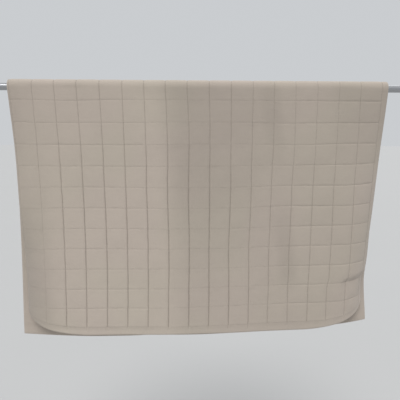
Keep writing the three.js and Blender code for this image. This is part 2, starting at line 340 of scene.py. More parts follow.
def curl_angle(column, below):
    """A column of the curl table, on a cubic through its rows. The slope at a row is that of the line
    through its two neighbours."""
    places = np.array(SIDE_CURLS["below"])
    angles = np.radians(np.array(SIDE_CURLS[column], float))
    padded_places = np.concatenate((places[:1], places, places[-1:]))
    padded_angles = np.concatenate((angles[:1], angles, angles[-1:]))
    slopes = (padded_angles[2:] - padded_angles[:-2]) / (padded_places[2:] - padded_places[:-2])
    row = np.clip(np.searchsorted(places, below) - 1, 0, len(places) - 2)
    span = places[row + 1] - places[row]
    t = np.clip((below - places[row]) / span, 0.0, 1.0)
    return (
        (2 * t**3 - 3 * t**2 + 1) * angles[row]
        + (t**3 - 2 * t**2 + t) * span * slopes[row]
        + (3 * t**2 - 2 * t**3) * angles[row + 1]
        + (t**3 - t**2) * span * slopes[row + 1]
    )


def lumps(across, along, cell, seed):
    """Smooth random heights from -1 to 1: random values on a square lattice that repeats, joined by cubic
    steps. The same place always has the same height."""
    lattice = np.random.default_rng(seed).uniform(-1.0, 1.0, (LATTICE, LATTICE))
    x = across / cell
    y = along / cell
    left = np.floor(x).astype(int)
    low = np.floor(y).astype(int)
    tx = smooth_step(0.0, 1.0, x - left)
    ty = smooth_step(0.0, 1.0, y - low)

    def row(up):
        start = lattice[(low + up) % LATTICE, left % LATTICE]
        stop = lattice[(low + up) % LATTICE, (left + 1) % LATTICE]
        return start + (stop - start) * tx

    return row(0) * (1 - ty) + row(1) * ty


class Drape:
    """The hung cloth, as places in space for places on the flat cloth."""

    def __init__(self, cloth, rod):
        self.square = cloth.square
        self.columns = cloth.columns
        self.rows = cloth.rows
        self.seam_thickness = cloth.seam_thickness
        self.puff_height = cloth.puff_height
        self.inner_radius = rod.diameter / 2 + ROD_CLEARANCE
        self.path_radius = self.inner_radius + cloth.seam_thickness / 2
        self.quarter_turn = self.path_radius * math.pi / 2
        self.offset = FOLD_EIGHTHS * self.quarter_turn / 4
        self.width = LEFT_BORDER + self.columns * self.square + RIGHT_BORDER
        self.front_end = self.rows * self.square - self.offset + FOOT_BORDER
        self.back_end = -(self.rows * self.square + self.offset + HEAD_BORDER)
        self.left_x = (rod.length - self.width) / 2

    def flat_size(self):
        """Width, length and area of the flat cloth. The area is the rectangle's, less what lies outside the
        quarter ellipses of the two round corners."""
        length = self.front_end - self.back_end
        rounded = 2 * (1 - math.pi / 4) * CORNER_ACROSS * CORNER_ALONG
        return self.width, length, self.width * length - rounded

    def drop(self, side, across, along, below):
        """A drop's inner face at a distance below the rod's axis. Its depth is the lean, plus arcs at the two
        side edges, plus raised cosines for the upright folds, plus a step at the crease. Its place across is
        shortened by those arcs and moved by the pull beside the crease, half a sine of sway and the flares.
        Its height is the distance below, less what the corners are lifted by."""
        drop = DROPS[side]
        end = (self.front_end if side == "front" else -self.back_end) - self.quarter_turn
        share = below / end
        depth = -drop["to_back"] * drop["lean_out"] * share

        reach, bend = bent_strip(LEFT_CURL_WIDTH - across, LEFT_CURL_WIDTH, curl_angle(side + "_left", below))
        at_left = across < LEFT_CURL_WIDTH
        x = np.where(at_left, LEFT_CURL_WIDTH - reach, across)
        depth = depth + np.where(at_left, bend, 0.0)
        right_start = self.width - RIGHT_CURL_WIDTH
        reach, bend = bent_strip(across - right_start, RIGHT_CURL_WIDTH, curl_angle(side + "_right", below))
        at_right = across > right_start
        x = np.where(at_right, right_start + reach, x)
        depth = depth + np.where(at_right, bend, 0.0)

        for place, half_width, outward, hem_share in FOLDS[side]:
            bell = (1 + np.cos(np.pi * np.clip((across - place) / half_width, -1, 1))) / 2
            height = (1 + (hem_share - 1) * share) * smooth_step(0.0, FOLD_FADE_IN, below)
            depth = depth - drop["to_back"] * outward * bell * height

        past = np.abs(along) - CREASE_ALONG + (across - CREASE_ACROSS) * CREASE_SLOPE
        set_back = smooth_step(-CREASE_STEP / 2, CREASE_STEP / 2, past)
        recovered = smooth_step(CREASE_STEP / 2, CREASE_STEP / 2 + CREASE_RECOVERY, past)
        depth = depth + drop["crease"] * window(CREASE_WINDOW, across) * set_back * (1 - recovered)
        pulled = smooth_step(PULL_FROM, PULL_FULL, across) * smooth_step(-PULL_STEP / 2, PULL_STEP / 2, past)
        x = x - drop["pull"] * pulled

        x = x + drop["sway"] * np.sin(np.pi * share) * (1 - smooth_step(SWAY_FULL, SWAY_NONE, across))
        flared = smooth_step(FLARE_BELOW, end, below)
        x = x - drop["flare_left"] * flared * np.maximum(1 - across / FLARE_WIDTH, 0) ** 2
        x = x + drop["flare_right"] * flared * np.maximum(1 - (self.width - across) / FLARE_WIDTH, 0) ** 2

        left_lift = np.clip(1 - across / LIFT_LEFT_OF, 0, 1) ** LIFT_POWER
        right_lift = np.clip((across - LIFT_RIGHT_OF) / (self.width - LIFT_RIGHT_OF), 0, 1) ** LIFT_POWER
        early = smooth_step(EARLY_LIFT_BELOW, EARLY_LIFT_BELOW + EARLY_LIFT_REACH, below)
        late = smooth_step(LIFT_BELOW, LIFT_BELOW + LIFT_REACH, below)
        lifted = late + (early - late) * drop["early_lift"]
        z = (drop["lift_left"] * left_lift + drop["lift_right"] * right_lift) * lifted - below
        return np.stack((self.left_x + x, depth - drop["to_back"] * self.inner_radius, z), axis=-1)

    def inner(self, across, along):
        """The inner face: a half turn about the rod, then the front drop or the back drop."""
        below = np.abs(along) - self.quarter_turn
        turn = along / self.path_radius
        over_rod = np.stack(
            (
                self.left_x + across,
                -self.inner_radius * np.sin(turn),
                self.inner_radius * np.cos(turn),
            ),
            axis=-1,
        )
        hanging = np.maximum(below, 0.0)
        front = self.drop("front", across, along, hanging)
        back = self.drop("back", across, along, hanging)
        dropped = np.where((along > 0)[..., None], front, back)
        return np.where((below > 0)[..., None], dropped, over_rod)

    def hung(self, across, along, height):
        """A place of the even pattern at a height above the inner face, along the face's normal, which is the
        cross product of its differences along and across."""
        across, along = self.sewn(across, along)
        step_across = self.inner(across + NORMAL_STEP, along) - self.inner(across - NORMAL_STEP, along)
        step_along = self.inner(across, along + NORMAL_STEP) - self.inner(across, along - NORMAL_STEP)
        normal = np.cross(step_along, step_across)
        normal /= np.linalg.norm(normal, axis=-1, keepdims=True)
        return self.inner(across, along) + normal * np.asarray(height)[..., None]

    def sewn(self, across, along):
        """Where a place of the even pattern lies on the flat cloth: moved by two sizes of random lumps that
        fade out at the outline, then drawn in above the hem by its share of what a corner's ellipse cuts."""
        inside = smooth_step(0.0, WANDER_REACH, self.from_edge(across, along))

        def moved(broad_seed, fine_seed):
            broad = BROAD_WANDER * lumps(across, along, BROAD_CELL, broad_seed)
            return inside * (broad + FINE_WANDER * lumps(across, along, FINE_CELL, fine_seed))

        across, along = across + moved(*ACROSS_SEEDS), along + moved(*ALONG_SEEDS)
        from_side = np.minimum(across, self.width - across)
        in_corner = np.clip(1 - from_side / CORNER_ACROSS, 0.0, 1.0)
        cut_off = CORNER_ALONG * (1 - np.sqrt(1 - in_corner**2))
        eased = np.maximum(along - self.front_end + EASED_LENGTH, 0.0) / EASED_LENGTH
        return across, along - cut_off * eased

    def from_edge(self, across, along):
        """Distance in from the outline of the even pattern, which is a rectangle."""
        from_side = np.minimum(across, self.width - across)
        return np.minimum(from_side, np.minimum(self.front_end - along, along - self.back_end))

    def from_seams(self, across, along):
        """Distances from the nearest upright seam, the nearest level seam, and the quilted field. The seams
        end where the field does."""
        def away(place, count):
            within = np.clip(place, 0.0, count * self.square)
            in_square = np.mod(within, self.square)
            return np.minimum(in_square, self.square - in_square), np.abs(place - within)

        from_upright, past_side = away(across - LEFT_BORDER, self.columns)
        from_level, past_end = away(along + self.offset + self.rows * self.square, 2 * self.rows)
        past_field = np.hypot(past_side, past_end)
        return np.hypot(from_upright, past_field), np.hypot(from_level, past_field), past_field

    def seam_pulls(self, across, along):
        """How deep the upright seams, the level seams and the dip along the level ones are pulled. On the
        front a pull is the sum of its table's first shares, times 1 plus a share for each stretch, and times
        an uneven random share. The cloth's weight draws the upright seams tight, most of all low on the left,
        and stretches the level seams almost flat, most of all in the middle. The turned left edge is
        stretched flat too, and the upright seams are slack high on the right."""
        low = smooth_step(*LOW_STEP, np.abs(along))
        left = 1 - smooth_step(*LEFT_STEP, across)
        right = smooth_step(*RIGHT_STEP, across)
        stretches = {
            "right": right,
            "middle": window(MIDDLE_WINDOW, across),
            "high_right": window(SLACK_WINDOW, across) * (1 - low),
            "near_hem": smooth_step(*NEAR_HEM_STEP, along) * (1 - right),
            "last_row": smooth_step(*LAST_ROW_STEP, along) * right,
        }
        front = smooth_step(*FRONT_STEP, along)
        uneven = 1 + UNEVEN_SHARE * lumps(across, along, UNEVEN_CELL, UNEVEN_SEED)

        def pulled(kind):
            pull = SEAM_PULLS[kind]
            depth = pull["front"] + pull["add_low"] * low + pull["add_right"] * right
            depth = depth * (1 + (pull["left"] + pull["low_left"] * low) * left) * uneven
            for stretch, inside in stretches.items():
                depth = depth * (1 + pull[stretch] * inside)
            return pull["back"] + (depth - pull["back"]) * front

        return pulled("upright"), pulled("level"), pulled("dip")

    def relief(self, across, along):
        """How far the outer face stands above its seams. Beside a seam it rises as 1 less the pull times
        exp(-distance), then goes on as a half sine across the square; the two directions are multiplied. The
        border beyond the last seams is a little flatter. Small random lumps pucker the face beside the seams.
        Over the rod it is higher by a squared cosine. The outline is rolled off as a quarter round."""
        upright, level, past_field = self.from_seams(across, along)
        upright_pull, level_pull, dip = self.seam_pulls(across, along)
        random = np.random.default_rng(DOME_SEED)
        domes = 1 + DOME_SPREAD * random.uniform(-1, 1, (2 * self.rows, self.columns))
        column = np.clip(((across - LEFT_BORDER) / self.square).astype(int), 0, self.columns - 1)
        place = (along + self.offset) / self.square + self.rows
        row = np.clip(place.astype(int), 0, 2 * self.rows - 1)
        dome = (1 - GROOVE_SHARE) * np.sin(np.pi * np.minimum(upright / self.square, 0.5))
        dome = dome * np.sin(np.pi * np.minimum(level / self.square, 0.5)) * domes[row, column]
        beside_upright = 1 - upright_pull * np.exp(-upright / GROOVE_WIDTH)
        beside_level = 1 - level_pull * np.exp(-level / GROOVE_WIDTH) - dip * np.exp(-level / DIP_WIDTH)
        flatter = 1 - BORDER_DROP * smooth_step(0.0, BORDER_REACH, past_field)
        height = (GROOVE_SHARE * beside_upright * beside_level + dome) * flatter
        near_seam = np.exp(-np.minimum(upright, level) / PUCKER_REACH)
        pucker = PUCKER_HEIGHT * lumps(across, along, PUCKER_CELL, PUCKER_SEED) * near_seam
        turn = np.clip(along / self.path_radius, -np.pi / 2, np.pi / 2)
        raised = self.puff_height * height + pucker + FOLD_PUFF * np.cos(turn) ** 2
        edge = self.from_edge(across, along)
        rolled = np.sqrt(1 - (1 - np.clip(edge / HEM_ROLL, 0.0, 1.0)) ** 2)
        low_edge = HEM_EDGE - self.seam_thickness
        return low_edge + (raised - low_edge) * rolled


def square_lines(first, count, square):
    """Grid lines through count squares from the place of the first seam, and which of them the lining
    keeps."""
    shares = np.array(SQUARE_LINES)
    places = first + (np.arange(count)[:, None] + shares) * square
    kept = np.broadcast_to(np.isin(shares, LINING_LINES), places.shape)
    last = first + count * square
    return np.append(places.ravel(), last), np.append(kept.ravel(), True)


def with_lines(lines, kept, extra):
    """The lines with some more that the lining keeps too, in order, less those too close to an old one."""
    clear = np.abs(extra[:, None] - lines).min(axis=1) > LEAST_LINE_GAP
    places = np.concatenate((lines, extra[clear]))
    flags = np.concatenate((kept, np.ones(clear.sum(), bool)))
    order = np.argsort(places)
    return places[order], flags[order]


def grid_faces(rows, columns, first, flipped):
    """The four-cornered faces of a grid of points that are numbered row by row."""
    corner = first + np.arange(rows - 1)[:, None] * columns + np.arange(columns - 1)
    faces = np.stack((corner, corner + 1, corner + columns + 1, corner + columns), axis=-1).reshape(-1, 4)
    return faces[:, ::-1] if flipped else faces


def rim_loop(rows, columns, first):
    """Numbers of a grid's border points, once round from its first corner."""
    index = first + np.arange(rows * columns).reshape(rows, columns)
    return np.concatenate((index[0, :-1], index[:-1, -1], index[-1, :0:-1], index[:0:-1, 0]))


def closed_sheet(outer, inner, kept_rows, kept_columns):
    """A closed sheet from an outer grid and an inner grid that has only some of its rows and columns. The
    rim joins each inner border point to all the outer border points up to the next inner one."""
    rows, columns = outer.shape[:2]
    inner_rows, inner_columns = inner.shape[:2]
    first_inner = rows * columns
    points = np.concatenate((outer.reshape(-1, 3), inner.reshape(-1, 3)))
    quads = np.concatenate(
        (
            grid_faces(rows, columns, 0, True),
            grid_faces(inner_rows, inner_columns, first_inner, False),
        )
    )
    kept = (kept_rows[:, None] & kept_columns).ravel()
    outer_rim = rim_loop(rows, columns, 0)
    on_rim = kept[outer_rim]
    inner_rim = rim_loop(inner_rows, inner_columns, first_inner)
    held = inner_rim[np.cumsum(on_rim) - 1]
    following = np.roll(outer_rim, -1)
    fan = np.stack((held, outer_rim, following), axis=-1)
    next_kept = np.roll(on_rim, -1)
    turn = np.stack((held, following, np.roll(held, -1)), axis=-1)[next_kept]
    return points, quads, np.concatenate((fan, turn))


def add_mesh(name, points, quads=NO_FACES, triangles=NO_FACES, flat=None):
    """A new object from arrays of points and faces, with an optional map of flat places for each point."""
    mesh = bpy.data.meshes.new(name)
    corners = np.concatenate((quads.ravel(), triangles.ravel())).astype(np.int32)
    sizes = np.concatenate((np.full(len(quads), 4), np.full(len(triangles), 3)))
    starts = np.concatenate(((0,), np.cumsum(sizes)[:-1])).astype(np.int32)
    mesh.vertices.add(len(points))
    mesh.vertices.foreach_set("co", points.astype(np.float32).ravel())
    mesh.loops.add(len(corners))
    mesh.loops.foreach_set("vertex_index", corners)
    mesh.polygons.add(len(sizes))
    mesh.polygons.foreach_set("loop_start", starts)
    mesh.polygons.foreach_set("use_smooth", np.ones(len(sizes), bool))
    mesh.update(calc_edges=True)
    if flat is not None:
        layer = mesh.uv_layers.new(name="flat")
        layer.uv.foreach_set("vector", flat[corners].astype(np.float32).ravel())
    if mesh.validate():
        raise RuntimeError(f"{name}: the mesh had faults")
    piece = bpy.data.objects.new(name, mesh)
    bpy.context.scene.collection.objects.link(piece)
    return piece


class Value:
    """An output socket, with arithmetic that adds Math nodes to its finish."""

    def __init__(self, finish, socket):
        self.finish = finish
        self.socket = socket

    def math(self, operation, *values):
        sockets = dict(enumerate(values))
        return self.finish.node("ShaderNodeMath", {"operation": operation}, sockets)

    def __add__(self, other):
        return self.math("ADD", self, other)

    def __sub__(self, other):
        return self.math("SUBTRACT", self, other)

    def __rsub__(self, other):
        return self.math("SUBTRACT", other, self)

    def __mul__(self, other):
        return self.math("MULTIPLY", self, other)

    __radd__ = __add__
    __rmul__ = __mul__

    def absolute(self):
        return self.math("ABSOLUTE", self)

    def least(self, other):
        return self.math("MINIMUM", self, other)

    def most(self, other):
        return self.math("MAXIMUM", self, other)

    def there_and_back(self, span):
        return self.math("PINGPONG", self, span)

    def wave(self):
        return self.math("SINE", self)


class Finish:
    """A new material, its shader, and the nodes that feed it."""

    def __init__(self, name, constants):
        self.material = bpy.data.materials.new(name)
        self.material.use_nodes = True
        self.tree = self.material.node_tree
        self.shader = next(node for node in self.tree.nodes if node.type == "BSDF_PRINCIPLED")
        for socket, value in constants.items():
            self.shader.inputs[socket].default_value = value

    def node(self, kind, settings=None, sockets=None, output=0):
        """A new node: its settings are set first, then its sockets get their values or links."""
        node = self.tree.nodes.new(kind)
        for key, value in (settings or {}).items():
            setattr(node, key, value)
        for key, value in (sockets or {}).items():
            self.feed(node.inputs[key], value)
        return Value(self, node.outputs[output])

    def feed(self, socket, value):
        if isinstance(value, Value):
            self.tree.links.new(value.socket, socket)
        else:
            socket.default_value = value

    def place(self):
        """Places in the piece's own space, which is the part's frame."""
        return self.node("ShaderNodeTexCoord", output="Object")

    def parts(self, vector):
        """The three numbers of a vector."""
        separated = self.node("ShaderNodeSeparateXYZ", None, {0: vector}).socket.node
        return tuple(Value(self, output) for output in separated.outputs)

    def rise(self, value, step, low=0.0, high=1.0):
        """low before the step's first place and high after its second, on a smooth step between them."""
        return self.node(
            "ShaderNodeMapRange",
            {"interpolation_type": "SMOOTHSTEP"},
            {"Value": value, "From Min": step[0], "From Max": step[1], "To Min": low, "To Max": high},
        )

    def fall(self, value, step):
        """1 before the step's first place and 0 after its second."""
        return self.rise(value, step, 1.0, 0.0)

    def window(self, value, places):
        """Rises from 0 to 1 over the first two of four places, and falls back to 0 over the last two."""
        return self.rise(value, places[:2]) * self.fall(value, places[2:])

    def noise(self, place, scale, detail, stretch):
        """Smooth noise from 0 to 1, on a place that is stretched first."""
        stretched = self.node("ShaderNodeMapping", None, {"Vector": place, "Scale": stretch})
        return self.node("ShaderNodeTexNoise", None, {"Vector": stretched, "Scale": scale, "Detail": detail})

    def mix(self, factor, first, second):
        """A colour between two colours."""
        return self.node(
            "ShaderNodeMix",
            {"data_type": "RGBA", "clamp_factor": True},
            {COLOUR_MIX["factor"]: factor, COLOUR_MIX["first"]: first, COLOUR_MIX["second"]: second},
            COLOUR_MIX["result"],
        )

    def bump(self, height, distance):
        """Feeds the shader's normal with a height, in units of a distance."""
        normal = self.node("ShaderNodeBump", None, {"Distance": distance, "Height": height})
        self.feed(self.shader.inputs["Normal"], normal)

    def colour(self, value):
        self.feed(self.shader.inputs["Base Color"], value)

    def roughness(self, value):
        self.feed(self.shader.inputs["Roughness"], value)


def opaque(colour, share=1.0, tint=(1.0, 1.0, 1.0)):
    """A colour as four numbers, each of the first three times a share and its part of a tint."""
    return (*(channel * share * part for channel, part in zip(colour, tint)), 1.0)


def painted_light_and_shade(finish, across, along):
    """Painted light and shade on the cloth, as a change of tone: the sum of each stretch's mask times its
    tone.
    The front is painted paler left of a soft upright line, as painted light, more so towards the hem; darker
    right of it, as painted shade, most of all in a broad band under the rod and in a slanting hollow; darker
    at both edges, painted shade where they turn back. The back is darker at its lower right corner, a painted
    shadow of the front drop."""
    high = finish.fall(along, PAINTED_LIGHT_ALONG["high"])
    low = finish.rise(along, PAINTED_LIGHT_ALONG["low"])
    right = finish.rise(across - along * RIGHT_SLANT, PAINTED_LIGHT_ACROSS["right"])
    left = 1.0 - right
    band = right * finish.fall(across, PAINTED_LIGHT_ACROSS["band_end"])
    off_hollow = (across - along * HOLLOW_SLANT - HOLLOW_ACROSS).absolute()
    hollow = finish.fall(off_hollow, HOLLOW_STEP)
    left_edge = finish.fall(across, PAINTED_LIGHT_ACROSS["left_edge"])
    stretches = {
        "left": left,
        "low_left": left * low,
        "hem": finish.rise(along, PAINTED_LIGHT_ALONG["hem"]),
        "right": right,
        "high_band": band * (1.0 - low),
        "low_band": band * low,
        "hollow": hollow,
        "high_hollow": hollow * high,
        "low_hollow": hollow * finish.window(along, PAINTED_LIGHT_ALONG["hollow_low"]),
        "rim": finish.fall(across, PAINTED_LIGHT_ACROSS["rim"]),
        "left_edge": left_edge,
        "low_left_edge": left_edge * low * low,
        "high_right_edge": finish.rise(across, PAINTED_LIGHT_ACROSS["right_edge"]) * high,
    }
    tone = sum(mask * PAINTED_LIGHT_TONES[name] for name, mask in stretches.items())
    # Painted shadow of the front drop on the back drop's lower right corner.
    back_right = finish.rise(across, PAINTED_LIGHT_ACROSS["back_right"])
    back_corner_shadow = back_right * finish.fall(along, PAINTED_LIGHT_ALONG["back_low"])
    front = finish.rise(along, PAINTED_LIGHT_ALONG["front"])
    return tone * front + back_corner_shadow * PAINTED_LIGHT_TONES["back_corner_shadow"]


def cloth_finish(cloth, drape):
    """Brushed cotton: a plain weave of crossed sine waves, slubs along both threads, mottling, a drifting
    tint, darker seam lines of painted shade in the seam grooves with puckers across them, a paler fold
    where the nap is worn, and painted light and shade across the cloth."""
    finish = Finish(
        "quilted_cotton",
        {"Sheen Weight": 0.18, "Sheen Roughness": 0.55, "Specular IOR Level": 0.25},
    )
    flat = finish.node("ShaderNodeUVMap", {"uv_map": "flat"})
    across, along, _ = finish.parts(flat)
    noises = {name: finish.noise(flat, *row) for name, row in COTTON_NOISES.items()}

    def away(place, count):
        within = place.most(0.0).least(count * drape.square)
        return within.there_and_back(drape.square / 2), (place - within).absolute()

    from_upright, past_side = away(across - LEFT_BORDER, drape.columns)
    from_level, past_end = away(along + (drape.offset + drape.rows * drape.square), 2 * drape.rows)
    past_field = past_side + past_end
    upright = from_upright + past_field
    level = from_level + past_field

    low = finish.rise(along.absolute(), LOW_STEP)
    left = finish.fall(across, LEFT_STEP)
    right = finish.rise(across, RIGHT_STEP)
    middle = finish.window(across, MIDDLE_WINDOW)
    lost_left = left * (UPRIGHT_SEAM_SHADE["less_left"] + low * UPRIGHT_SEAM_SHADE["less_low_left"])
    upright_shade_share = (UPRIGHT_SEAM_SHADE["high"] + low * UPRIGHT_SEAM_SHADE["add_low"]) * (1.0 - lost_left)
    upright_shade_share = upright_shade_share * (1.0 - right * UPRIGHT_SEAM_SHADE["less_right"])
    level_shade_share = LEVEL_SEAM_SHADE["all"] - left * low * LEVEL_SEAM_SHADE["drop_low_left"]
    level_shade_share = level_shade_share * (1.0 - middle * LEVEL_SEAM_SHADE["less_middle"])
    # The darker seam lines are painted shade in the seam grooves.
    upright_seam_shade = finish.fall(upright, SEAM_SHADE_STEP) * upright_shade_share
    level_seam_shade = finish.fall(level, SEAM_SHADE_STEP) * level_shade_share
    line = upright_seam_shade.most(level_seam_shade) * (noises["thinned_seam"] + NOISE_MIDDLE)

    crown = finish.rise(upright.least(level), CROWN_STEP)
    worn_fold = finish.fall(along.absolute(), WORN_STEP)
    # The painted light and shade across the cloth go into its tone here.
    tone = painted_light_and_shade(finish, across, along) + crown * CROWN_TONE + worn_fold * WORN_TONE + COTTON_TONE
    for name, share in NOISE_TONES.items():
        tone = tone + (noises[name] - NOISE_MIDDLE) * share
    drift = finish.rise(noises["tint"], TINT_STEP)
    dark, pale = (
        finish.mix(drift, opaque(cloth.colour, share, ROSY), opaque(cloth.colour, share, MOSSY))
        for share in (COTTON_DARK, COTTON_PALE)
    )
    ground = finish.mix(tone, dark, pale)
    # The seam lines darken the ground with painted shade in the grooves.
    finish.colour(finish.mix(line, ground, opaque(cloth.thread_and_seam_shade_colour)))
    mottle = noises["mottle"]
    rough_mottle = (mottle - NOISE_MIDDLE) * COTTON_ROUGHNESS["mottle"]
    finish.roughness(COTTON_ROUGHNESS["all"] + rough_mottle + line * COTTON_ROUGHNESS["line"])

    thread = 2 * math.pi / cloth.thread_pitch
    weave = (across * thread).wave() * (along * thread).wave()
    upright_puckers = noises["upright_puckers"] * finish.fall(upright, PUCKER_STEP)
    level_puckers = noises["level_puckers"] * finish.fall(level, PUCKER_STEP)
    parts = {
        "weave": weave,
        "puckers": upright_puckers + level_puckers,
        "fuzz": noises["fuzz"],
        "mottle": mottle,
    }
    finish.bump(sum(part * COTTON_BUMP[name] for name, part in parts.items()), COTTON_BUMP_HEIGHT)
    return finish.material


def thread_finish(cloth):
    """Twisted sewing thread: two colours in slanting bands a fraction of a millimetre wide."""
    finish = Finish("sewing_thread", {"Sheen Weight": 0.1, "Specular IOR Level": 0.3})
    place = finish.place()
    x, y, z = finish.parts(place)
    twist = ((x + y + z) * (2 * math.pi / THREAD_TWIST)).wave() * 0.5 + 0.5
    uneven = finish.noise(place, *THREAD_NOISE)
    blend = twist * THREAD_MIX["twist"] + uneven * THREAD_MIX["uneven"]
    finish.colour(finish.mix(blend, opaque(cloth.thread_and_seam_shade_colour), opaque(cloth.colour, THREAD_PALE)))
    finish.roughness(THREAD_ROUGHNESS["all"] + uneven * THREAD_ROUGHNESS["uneven"])
    finish.bump(twist, THREAD_BUMP_HEIGHT)
    return finish.material


def rod_finish(rod):
    """Satin steel: fine scratches along the rod, faint smudges, and slightly uneven colour."""
    finish = Finish("satin_steel", {"Metallic": 1.0})
    place = finish.place()
    brushed = finish.noise(place, *BRUSHED_NOISE)
    smudge = finish.noise(place, *SMUDGE_NOISE)
    blend = smudge * STEEL_MIX["smudge"] + brushed * STEEL_MIX["brushed"]
    finish.colour(finish.mix(blend, opaque(rod.colour, STEEL_DARK), opaque(rod.colour, STEEL_PALE)))
    rough = smudge * STEEL_ROUGHNESS["smudge"] + brushed * STEEL_ROUGHNESS["brushed"]
    finish.roughness(rough + STEEL_ROUGHNESS["all"])
    finish.bump(brushed, STEEL_BUMP_HEIGHT)
    return finish.material


def floor_finish(stage):
    """Pale painted floor: faint broad clouds of tone and a soft, even roughness."""
    finish = Finish("pale_floor", {"Specular IOR Level": 0.2})
    clouds = finish.noise(finish.place(), *FLOOR_NOISE)
    colour = stage.floor_colour
    finish.colour(finish.mix(clouds, opaque(colour, FLOOR_DARK), opaque(colour, FLOOR_PALE)))
    finish.roughness(FLOOR_ROUGHNESS["all"] + clouds * FLOOR_ROUGHNESS["clouds"])
    return finish.material


class BedspreadCloth(bpy.types.PropertyGroup):
    """Sizes and colours of the cloth and its sewing."""

    square: FloatProperty(
        name="Square", description="Side of one quilted square",
        default=0.100, min=0.02, unit="LENGTH",
    )
    columns: IntProperty(name="Columns", description="Squares across the cloth", default=17, min=2)
    rows: IntProperty(name="Rows", description="Rows of squares on each drop", default=12, min=2)
    seam_thickness: FloatProperty(
        name="Seam Thickness", description="Thickness of the cloth at a seam",
        default=0.003, min=0.001, unit="LENGTH",
    )
    puff_height: FloatProperty(
        name="Puff Height", description="How far a square stands above its seams",
        default=0.007, min=0, unit="LENGTH",
    )
    stitch_length: FloatProperty(
        name="Stitch Length", description="Length of one stitch",
        default=0.0042, min=0.001, unit="LENGTH",
    )
    stitch_pitch: FloatProperty(
        name="Stitch Pitch", description="Distance from stitch to stitch",
        default=0.0062, min=0.002, unit="LENGTH",
    )
    thread_radius: FloatProperty(
        name="Thread Radius", description="Half the sewing thread's thickness",
        default=0.0005, min=0.0001, unit="LENGTH",
    )
    thread_pitch: FloatProperty(
        name="Weave Pitch", description="Distance over which the weave repeats",
        default=0.0016, min=0.0004, unit="LENGTH",
    )
    colour: FloatVectorProperty(
        name="Cloth Colour", description="Colour of the cloth",
        default=(0.462, 0.400, 0.338), subtype="COLOR", size=3,
    )
    # The darker colour of the sewing thread, and the colour of the painted shade in the seam grooves.
    thread_and_seam_shade_colour: FloatVectorProperty(
        name="Seam Colour", description="Colour in the seams",
        default=(0.235, 0.203, 0.172), subtype="COLOR", size=3,
    )


class BedspreadRod(bpy.types.PropertyGroup):
    """Sizes and colour of the rod, which start from the solid rod."""

    diameter: FloatProperty(
        name="Diameter", description="Outside of the tube",
        default=ROD_HIGH[2] - ROD_LOW[2], min=0.005, unit="LENGTH",
    )
    length: FloatProperty(
        name="Length", description="Length of the tube",
        default=ROD_HIGH[0] - ROD_LOW[0], min=0.1, unit="LENGTH",
    )
    wall: FloatProperty(
        name="Wall", description="Thickness of the tube's wall",
        default=0.0014, min=0.0005, unit="LENGTH",
    )
    sides: IntProperty(name="Sides", description="Faces round the tube", default=96, min=12)
    colour: FloatVectorProperty(
        name="Steel Colour", description="Colour of the steel",
        default=(0.40, 0.405, 0.415), subtype="COLOR", size=3,
    )


class BedspreadStage(bpy.types.PropertyGroup):
    """Floor, light and camera."""

    floor_height: FloatProperty(
        name="Floor Height", description="Height of the floor",
        default=-2.8, unit="LENGTH",
    )
    floor_radius: FloatProperty(
        name="Floor Radius", description="How far the floor reaches",
        default=40.0, min=1, unit="LENGTH",
    )
    floor_colour: FloatVectorProperty(
        name="Floor Colour", description="Colour of the floor",
        default=(0.45, 0.45, 0.447), subtype="COLOR", size=3,
    )
    air_colour: FloatVectorProperty(
        name="Surround", description="Colour of the light all round",
        default=(0.588, 0.607, 0.628), subtype="COLOR", size=3,
    )
    key_strength: FloatProperty(
        name="Key Light", description="Strength of the key light, in watts per square metre",
        default=2.0, min=0,
    )
    fill_strength: FloatProperty(
        name="Fill Light", description="Strength of the light from behind, in watts per square metre",
        default=0.9, min=0,
    )
    key_azimuth: FloatProperty(
        name="Key Azimuth", description="Key light's turn to the right of the front",
        default=math.radians(-12), subtype="ANGLE",
    )
    key_elevation: FloatProperty(
        name="Key Elevation", description="Key light's height above the horizon",
        default=math.radians(60), subtype="ANGLE",
    )
    key_softness: FloatProperty(
        name="Key Softness", description="How wide the key light looks",
        default=math.radians(30), subtype="ANGLE",
    )
    camera_place: FloatVectorProperty(
        name="Camera Place", description="Where the camera stands",
        default=(0.9178, -1.9957, -0.1233), subtype="TRANSLATION",
    )
    camera_yaw: FloatProperty(
        name="Yaw", description="Camera's turn to the right",
        default=math.radians(2.305), subtype="ANGLE",
    )
    camera_pitch: FloatProperty(
        name="Pitch", description="Camera's tilt upwards",
        default=math.radians(-11.415), subtype="ANGLE",
    )
    camera_roll: FloatProperty(
        name="Roll", description="Camera's turn about its own axis",
        default=math.radians(0.234), subtype="ANGLE",
    )
    lens: FloatProperty(name="Lens", description="Focal length on a 36 mm wide frame", default=37.8, min=1)


